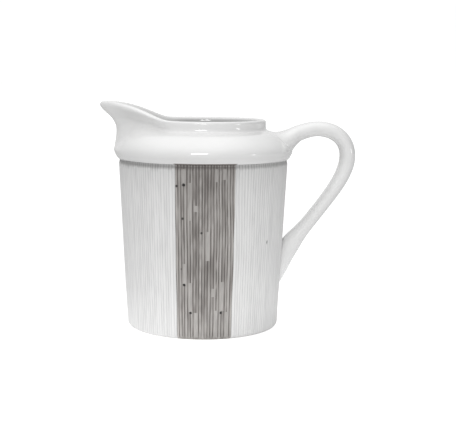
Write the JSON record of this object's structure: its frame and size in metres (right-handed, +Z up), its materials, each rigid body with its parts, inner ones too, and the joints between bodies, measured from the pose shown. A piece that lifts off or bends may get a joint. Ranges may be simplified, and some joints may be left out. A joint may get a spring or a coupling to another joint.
{
  "type": "cream jug",
  "caption": "Tapered porcelain cream jug with a ribbed barrel, smooth rounded shoulder, pulled pouring spout, looped handle and a grey band down each face.",
  "frame": {"origin": "on the surface the jug stands on, below the middle of the whole outline from spout tip to handle; the barrel's own axis is 10.48 mm towards -X from it", "axes": "+X from the spout towards the handle, +Z up along the barrel's axis, -Y the side seen with the spout on the left; the jug is symmetric front to back about the plane Y = 0"},
  "size_m": [0.1064, 0.0746, 0.0938],
  "materials": {
    "glazed_porcelain": "gloss",
    "ribbed_porcelain": "satin",
    "grey_band": "satin",
    "bare_porcelain": "matte"
  },
  "bodies": {
    "root": {"foot_ring": "bare_porcelain", "floor_disc": "glazed_porcelain", "body_wall": "ribbed_porcelain", "front_band": "grey_band", "back_band": "grey_band", "collar": "glazed_porcelain", "shoulder": "glazed_porcelain", "neck_rim": "glazed_porcelain", "spout": "glazed_porcelain", "handle_upper_root": "glazed_porcelain", "handle_bow": "glazed_porcelain", "handle_lower_terminal": "glazed_porcelain"}
  },
  "joints": []
}
